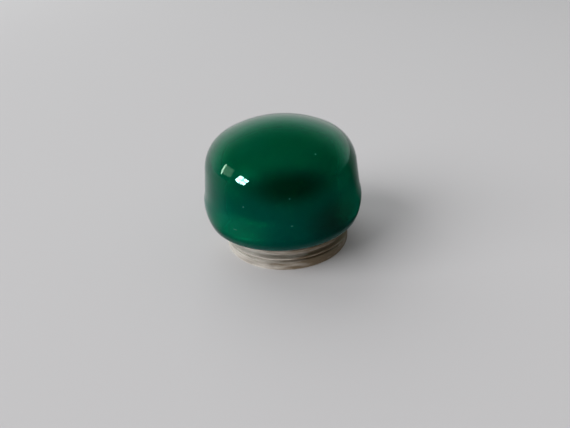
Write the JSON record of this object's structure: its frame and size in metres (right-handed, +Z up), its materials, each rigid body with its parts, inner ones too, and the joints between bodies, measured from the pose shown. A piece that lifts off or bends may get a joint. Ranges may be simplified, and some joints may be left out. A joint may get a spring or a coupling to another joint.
{
  "type": "sew-on shank button",
  "caption": "Domed green glass coat button set on a ridged metal collar, with a folding wire loop recessed in the back that swings out for sewing on.",
  "frame": {"origin": "the dome's axis, on the plane the collar's foot stands on; the collar and the shank stand 0.35 mm towards +X of it", "axes": "+Z up through the dome's crown; X along the shank loop's swing line; the folded loop lies towards +Y"},
  "size_m": [0.022, 0.022, 0.0179],
  "materials": {
    "green_glass": "fire-polished glossy pressed glass",
    "grey_fibre": "pressed grey fibre",
    "cement": "matte set cement",
    "tarnished_metal": "silvery plated brass, worn and tarnished",
    "plate_metal": "satin, lightly tarnished",
    "rivet_brass": "satin",
    "loop_wire": "drawn wire, rubbed bright"
  },
  "bodies": {
    "button": {"glass_dome": "green_glass", "seat_washer": "grey_fibre", "cement_ring": "cement", "ridged_collar": "tarnished_metal", "back_plate": "plate_metal", "shank_saddle": "plate_metal", "saddle_rivets": "rivet_brass"},
    "shank": {"shank_loop": "loop_wire"}
  },
  "joints": [
    {"name": "shank_swing", "type": "hinge", "parent": "button", "child": "shank", "pos_m": [0.00035, 0, 0.00225], "axis": [-1, 0, 0], "range_deg": [0, 180]}
  ]
}
